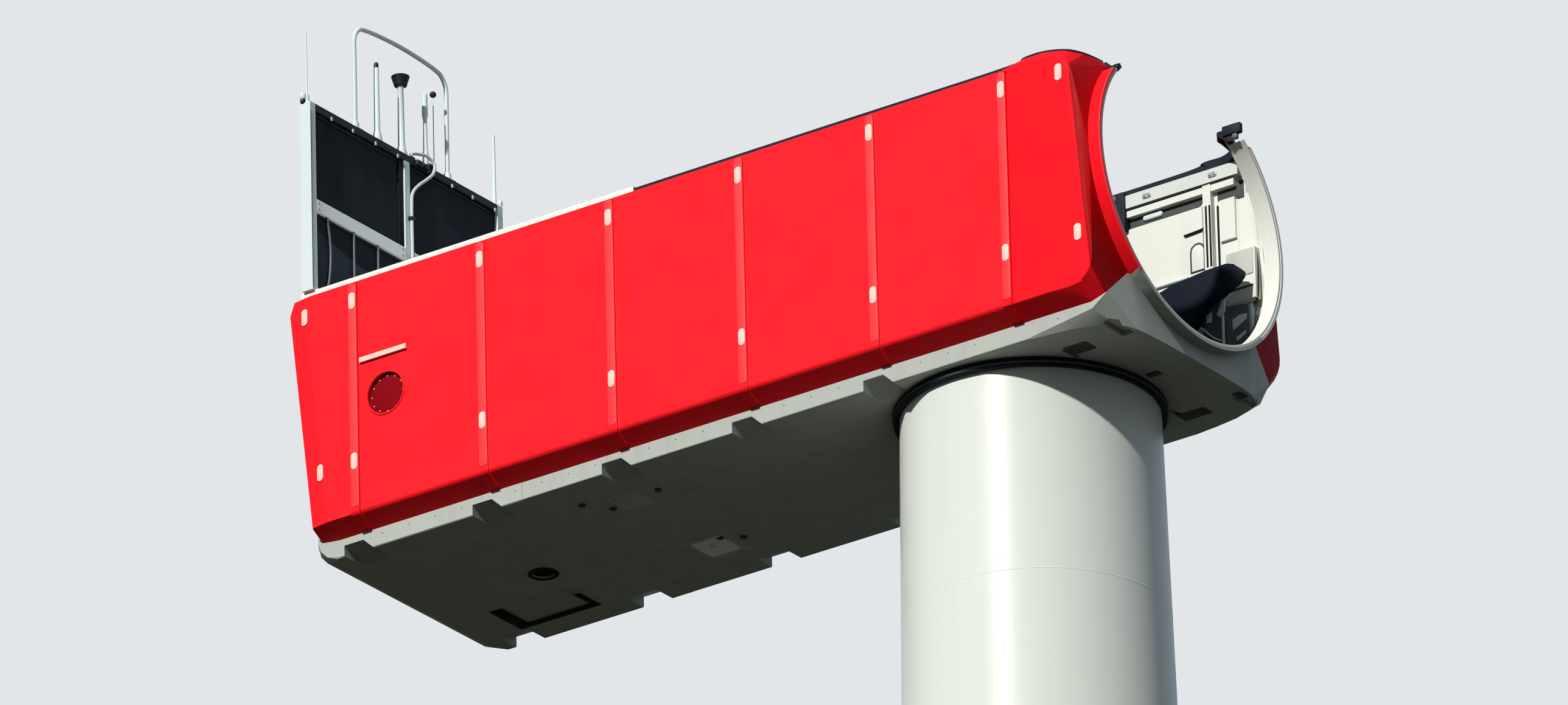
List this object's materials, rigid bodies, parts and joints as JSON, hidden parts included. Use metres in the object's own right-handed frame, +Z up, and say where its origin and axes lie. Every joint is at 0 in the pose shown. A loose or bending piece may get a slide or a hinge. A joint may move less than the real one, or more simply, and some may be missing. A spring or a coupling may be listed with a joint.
{
  "type": "wind turbine nacelle",
  "caption": "Box-shaped wind turbine nacelle with an open round front, roof-top cooler and wind sensors, turning on the flanged top section of its tower.",
  "frame": {"origin": "centre of the tower section's bottom flange face, on the yaw axis", "axes": "+Z up along the tower and yaw axis, +X towards the open front where the rotor goes, +Y to the nacelle's left side"},
  "size_m": [12.762, 4.27, 13.55],
  "materials": {
    "tower_paint": "satin off-white coating",
    "bare_steel": "galvanised and machined",
    "black_seal": "matt",
    "red_shell": "gelcoat on moulded glass fibre",
    "grey_pan": "matt grey gelcoat",
    "cream_inside": "smooth cream-white moulding",
    "white_roof": "light grey anti-slip top coat",
    "white_frame": "satin white",
    "cooler_core": "dark finned core",
    "black_rail": "black, satin",
    "grey_cable": "grey conduit",
    "dark_casting": "dark blue-grey primer",
    "dark_red_port": "matt dark red"
  },
  "bodies": {
    "tower": {"tower_base_flange": "tower_paint", "tower_can_lower": "tower_paint", "tower_can_upper": "tower_paint", "tower_top_flange": "tower_paint", "yaw_ring": "bare_steel"},
    "nacelle": {"yaw_seal": "black_seal", "rear_corner_right": "red_shell", "rear_corner_left": "red_shell", "side_panel_right_1": "red_shell", "side_panel_right_2": "red_shell", "side_panel_right_3": "red_shell", "side_panel_right_4": "red_shell", "side_panel_right_5": "red_shell", "side_panel_left_1": "red_shell", "side_panel_left_2": "red_shell", "side_panel_left_3": "red_shell", "side_panel_left_4": "red_shell", "side_panel_left_5": "red_shell", "nose_right": "red_shell", "nose_left": "red_shell", "rear_wall": "red_shell", "nose_chin": "grey_pan", "pan_rear": "grey_pan", "pan_middle": "grey_pan", "pan_front": "grey_pan", "underside_hatch": "grey_pan", "front_ring": "cream_inside", "wall_liner_right": "cream_inside", "wall_liner_left": "cream_inside", "wall_cabinet": "cream_inside", "roof_beam_right": "bare_steel", "roof_beam_left": "bare_steel", "roof_rear": "white_roof", "roof_middle": "white_roof", "roof_front": "white_roof", "cooler_post_right": "white_frame", "cooler_post_centre": "white_frame", "cooler_post_left": "white_frame", "cooler_beam_right": "white_frame", "cooler_beam_left": "white_frame", "cooler_core_right": "cooler_core", "cooler_core_left": "cooler_core", "cooler_top_rail": "black_rail", "sensor_hoop": "white_frame", "sensor_mast_tapered": "white_frame", "wind_sensor_mast": "white_frame", "sensor_mast_thick_top": "white_frame", "ball_sensor": "black_rail", "rod_left": "white_frame", "rod_right": "white_frame", "sensor_cable": "grey_cable", "bedplate": "dark_casting", "rear_frame": "dark_casting", "vent_port_right": "dark_red_port", "vent_port_left": "dark_red_port", "drip_rail_right": "white_frame", "drip_rail_left": "white_frame"}
  },
  "joints": [
    {"name": "yaw", "type": "hinge", "parent": "tower", "child": "nacelle", "pos_m": [0, 0, 0], "axis": [0, 0, 1], "continuous": true}
  ]
}
